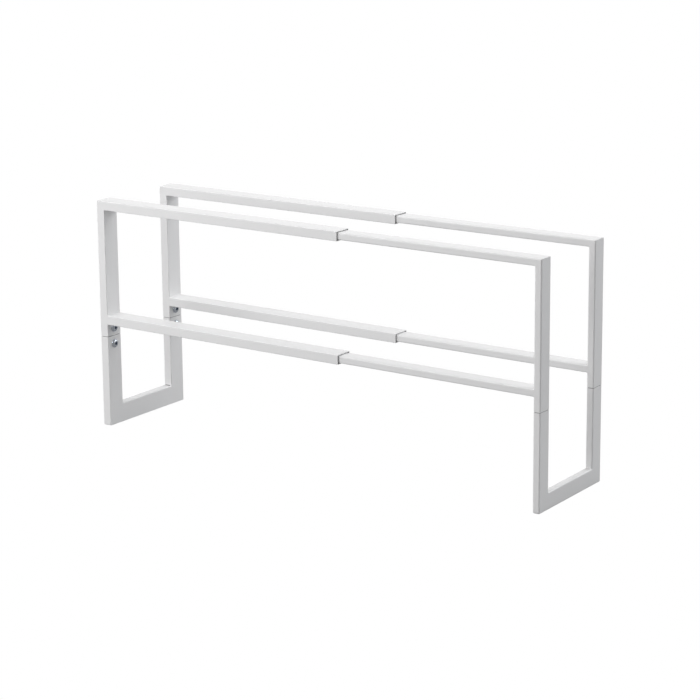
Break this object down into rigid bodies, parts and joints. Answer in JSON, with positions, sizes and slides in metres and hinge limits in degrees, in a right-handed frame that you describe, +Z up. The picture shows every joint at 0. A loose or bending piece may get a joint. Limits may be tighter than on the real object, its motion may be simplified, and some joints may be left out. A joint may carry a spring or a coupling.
{
  "type": "extendable two-tier tube rack",
  "caption": "Open rail rack in white rectangular steel tube: two tiers of rails that telescope sideways, on U-shaped bases screwed to the end frames.",
  "frame": {"origin": "on the floor, under the middle of the rack's box at the stored width", "axes": "+X along the rails towards the sliding end, +Y to the rear, +Z up"},
  "size_m": [0.658, 0.15, 0.3],
  "materials": {
    "white_powder_coat": "satin white powder coat on steel tube",
    "zinc_screw": "bright zinc plate",
    "zinc_insert": "zinc plated steel bar",
    "nylon_glide": "moulded nylon"
  },
  "bodies": {
    "fixed_end": {"left_base_bar": "white_powder_coat", "left_front_post": "white_powder_coat", "left_front_top_rail": "white_powder_coat", "left_front_lower_rail": "white_powder_coat", "left_front_leg": "white_powder_coat", "left_front_joint_insert": "zinc_insert", "left_front_upper_screw": "zinc_screw", "left_front_lower_screw": "zinc_screw", "left_rear_post": "white_powder_coat", "left_rear_top_rail": "white_powder_coat", "left_rear_lower_rail": "white_powder_coat", "left_rear_leg": "white_powder_coat", "left_rear_joint_insert": "zinc_insert", "left_rear_upper_screw": "zinc_screw", "left_rear_lower_screw": "zinc_screw"},
    "sliding_end": {"right_base_bar": "white_powder_coat", "right_front_post": "white_powder_coat", "right_front_top_rail": "white_powder_coat", "right_front_lower_rail": "white_powder_coat", "right_front_leg": "white_powder_coat", "right_front_joint_insert": "zinc_insert", "right_front_upper_screw": "zinc_screw", "right_front_lower_screw": "zinc_screw", "right_front_top_glide": "nylon_glide", "right_front_lower_glide": "nylon_glide", "right_rear_post": "white_powder_coat", "right_rear_top_rail": "white_powder_coat", "right_rear_lower_rail": "white_powder_coat", "right_rear_leg": "white_powder_coat", "right_rear_joint_insert": "zinc_insert", "right_rear_upper_screw": "zinc_screw", "right_rear_lower_screw": "zinc_screw", "right_rear_top_glide": "nylon_glide", "right_rear_lower_glide": "nylon_glide"}
  },
  "joints": [
    {"name": "width_slide", "type": "slide", "parent": "fixed_end", "child": "sliding_end", "axis": [1, 0, 0], "range_m": [-0.268, 0.042]}
  ]
}
